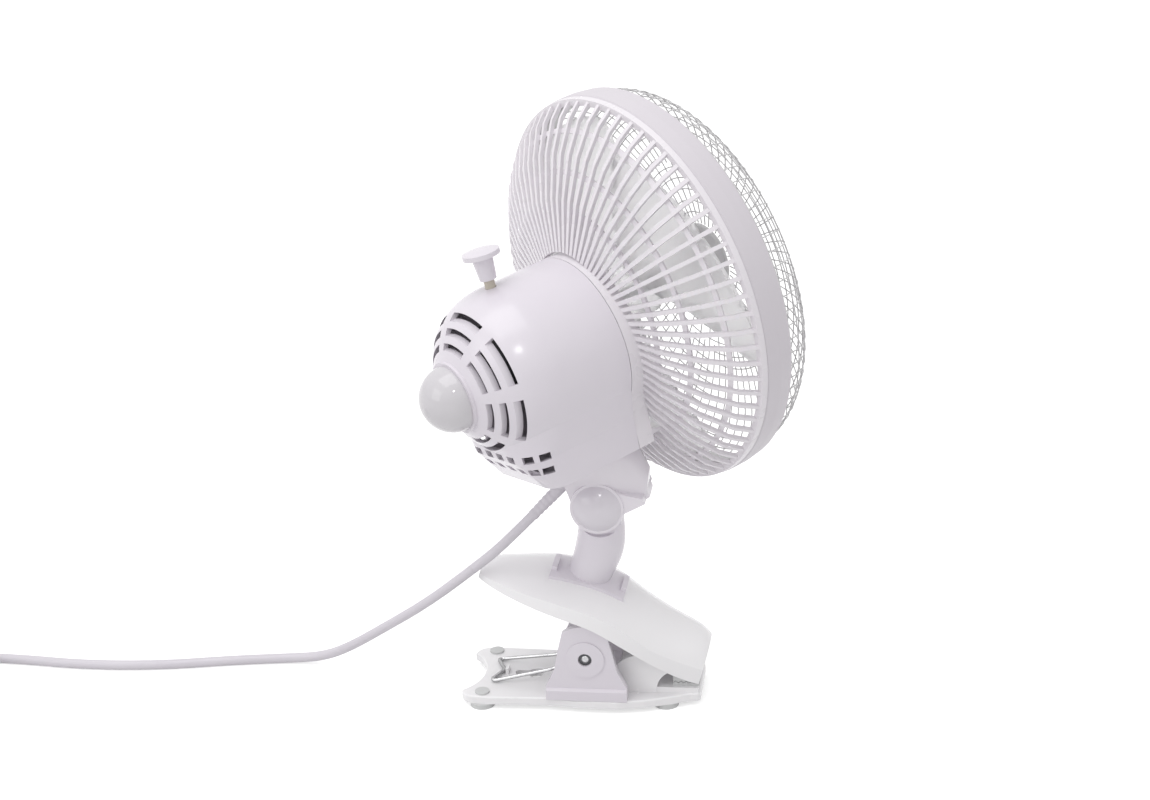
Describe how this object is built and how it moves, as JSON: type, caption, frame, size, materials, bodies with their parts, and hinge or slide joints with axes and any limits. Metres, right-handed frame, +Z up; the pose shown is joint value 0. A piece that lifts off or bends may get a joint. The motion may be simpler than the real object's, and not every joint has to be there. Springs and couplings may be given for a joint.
{
  "type": "clip fan",
  "caption": "Small clip-on desk fan: spring clamp with pivoting upper jaw, oval post, tilting neck and an oscillating round caged head, with its power cord.",
  "frame": {"origin": "on the table under the clamp's pivot, in the plane of symmetry of the clamp", "axes": "+X from the clamp's tail to its mouth, +Y to the far side, +Z up"},
  "size_m": [0.5258, 0.1838, 0.2889],
  "materials": {
    "base_white": "glossy moulded",
    "copper_winding": "lacquered wire",
    "cord_grey": "satin flexible PVC",
    "dark_nylon": "satin",
    "frosted_blade": "frosted translucent",
    "glossy_white": "glossy moulded, faint lilac cast",
    "grey_rubber": "matt",
    "guard_white": "glossy moulded",
    "knob_stem_beige": "satin",
    "motor_aluminium": "cast",
    "plug_brass": "bright",
    "spring_wire": "bright plated wire",
    "steel": "plated steel"
  },
  "bodies": {
    "clamp_base": {"base_plate": "base_white", "rubber_feet": "grey_rubber", "base_screws": "steel", "lower_pad": "grey_rubber", "pivot_bracket": "base_white", "pivot_pin": "steel", "pivot_spacer": "dark_nylon", "clamp_spring": "spring_wire", "power_cord": "cord_grey", "cord_coil": "cord_grey", "plug_body": "cord_grey", "plug_pins": "plug_brass"},
    "jaw": {"upper_jaw": "base_white", "upper_pad": "grey_rubber", "post": "glossy_white", "spring_legs": "spring_wire"},
    "neck_body": {"neck": "glossy_white", "hinge_caps": "glossy_white", "tilt_bolt": "steel", "tilt_nut": "steel", "tilt_washers": "dark_nylon", "swivel_spigot": "dark_nylon", "swivel_screw": "steel", "strain_relief": "cord_grey"},
    "head": {"motor_housing": "glossy_white", "rear_dome": "glossy_white", "housing_screw": "steel", "rear_guard": "guard_white", "rear_guard_rings": "guard_white", "guard_band": "guard_white", "front_guard": "guard_white", "front_guard_rings": "guard_white", "front_bracket": "motor_aluminium", "rear_bracket": "motor_aluminium", "motor_stator": "steel", "motor_coils": "copper_winding", "motor_screws": "steel", "bearings": "plug_brass", "gearbox": "dark_nylon", "swivel_bush": "dark_nylon"},
    "fan": {"motor_shaft": "steel", "rotor": "steel", "fan_blade": "frosted_blade", "blade_nut": "dark_nylon"},
    "knob": {"knob_stem": "knob_stem_beige", "oscillation_knob": "glossy_white"}
  },
  "joints": [
    {"name": "jaw_open", "type": "hinge", "parent": "clamp_base", "child": "jaw", "pos_m": [0, 0, 0.028], "axis": [0, -1, 0], "range_deg": [0, 30], "stiffness_Nm_per_rad": 2.5, "springref_deg": -34.38, "deforming": ["power_cord"]},
    {"name": "tilt", "type": "hinge", "parent": "jaw", "child": "neck_body", "pos_m": [0.0075, 0, 0.1024], "axis": [0, -1, 0], "range_deg": [-30, 25], "deforming": ["power_cord"]},
    {"name": "oscillation", "type": "hinge", "parent": "neck_body", "child": "head", "pos_m": [-0.01132, 0, 0.18591], "axis": [-0.2198, 0, 0.9755], "range_deg": [-87.7, 2.3]},
    {"name": "blade_spin", "type": "hinge", "parent": "head", "child": "fan", "pos_m": [-0.01132, 0, 0.18591], "axis": [0.7169, 0.6782, 0.1616], "continuous": true},
    {"name": "knob_press", "type": "slide", "parent": "head", "child": "knob", "axis": [0.2198, 0, -0.9755], "range_m": [0, 0.0034]}
  ]
}
